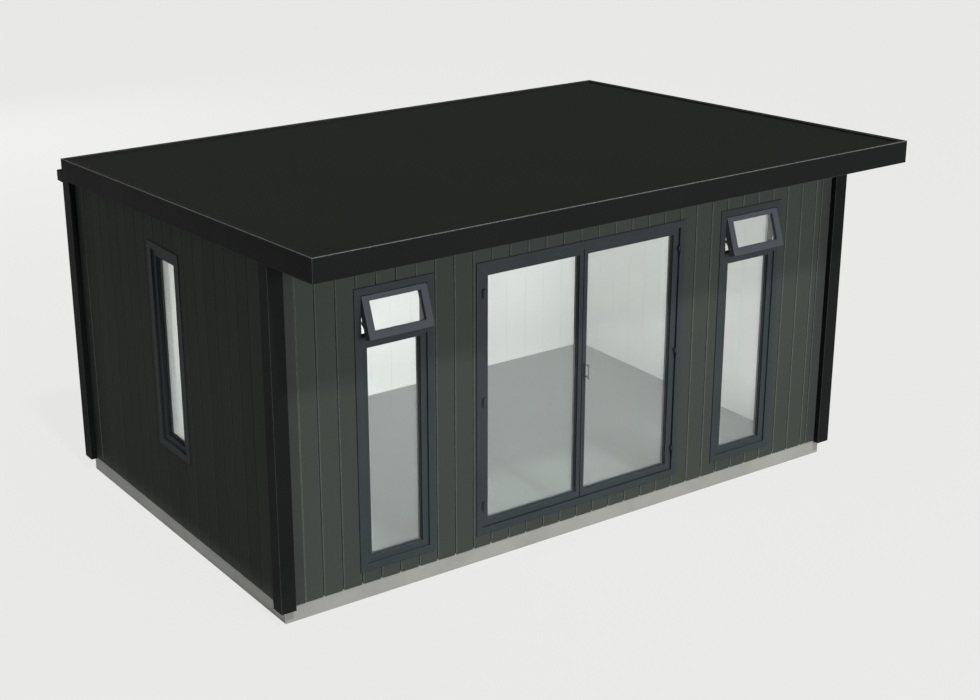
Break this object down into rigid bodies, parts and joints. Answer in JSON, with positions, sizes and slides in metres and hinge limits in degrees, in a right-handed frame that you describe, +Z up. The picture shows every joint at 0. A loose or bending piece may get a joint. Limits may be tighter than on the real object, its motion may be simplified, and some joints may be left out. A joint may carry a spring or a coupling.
{
  "type": "garden office pod",
  "caption": "Single-room garden cabin on a low plinth, board clad, with glazed double doors, narrow windows with open fanlights, corner posts and a shallow roof falling to a rear gutter.",
  "frame": {"origin": "on the ground at the middle of the plinth's underside", "axes": "+X along the front towards its right end seen from outside, +Y from the front to the back, +Z up"},
  "size_m": [4.906, 3.748, 2.635],
  "materials": {
    "plinth": "matt light grey",
    "floor": "pale grey boards, low sheen",
    "wall_panel": "matt insulated panel",
    "cladding": "dark grey-green painted boards, low sheen",
    "lining": "white painted boards, matt",
    "roof_core": "plain structural board",
    "membrane": "matt black roof rubber",
    "edge_trim": "grey powder coat",
    "fascia": "near-black satin",
    "post": "near-black satin",
    "gutter": "near-black satin",
    "frame": "anthracite powder coat, satin",
    "sash": "anthracite powder coat, satin",
    "glass": "clear, slightly milky",
    "handle": "satin",
    "hinge": "anthracite powder coat, satin",
    "stay": "satin"
  },
  "bodies": {
    "pod": {"base_plinth": "plinth", "floor_deck": "floor", "front_wall_left": "wall_panel", "front_wall_right": "wall_panel", "front_wall_header": "wall_panel", "front_wall_base": "wall_panel", "left_wall": "wall_panel", "right_wall": "wall_panel", "back_wall": "wall_panel", "front_cladding": "cladding", "left_cladding": "cladding", "right_cladding": "cladding", "back_cladding": "cladding", "wall_lining": "lining", "ceiling": "lining", "roof_deck": "roof_core", "roof_membrane": "membrane", "roof_edge_trim": "edge_trim", "front_fascia": "fascia", "back_fascia": "fascia", "left_fascia": "fascia", "right_fascia": "fascia", "front_soffit": "fascia", "front_left_post": "post", "front_right_post": "post", "back_left_post": "post", "back_right_post": "post", "rear_gutter": "gutter", "door_frame": "frame", "frame_hinges": "hinge", "left_window_frame": "frame", "left_window_glass": "glass", "left_fanlight": "sash", "right_window_frame": "frame", "right_window_glass": "glass", "right_fanlight": "sash", "side_window_frame": "frame", "side_window_glass": "glass", "fanlight_glass": "glass", "fanlight_stays": "stay"},
    "left_leaf": {"left_door_leaf": "frame", "left_door_glass": "glass", "left_leaf_hinges": "hinge"},
    "right_leaf": {"right_door_leaf": "frame", "right_door_glass": "glass", "right_leaf_hinges": "hinge", "door_handle": "handle"}
  },
  "joints": [
    {"name": "left_door_hinge", "type": "hinge", "parent": "pod", "child": "left_leaf", "pos_m": [-0.8495, -1.519, 1.185], "axis": [0, 0, -1], "range_deg": [0, 90]},
    {"name": "right_door_hinge", "type": "hinge", "parent": "pod", "child": "right_leaf", "pos_m": [0.8495, -1.519, 1.185], "axis": [0, 0, 1], "range_deg": [0, 90]}
  ]
}
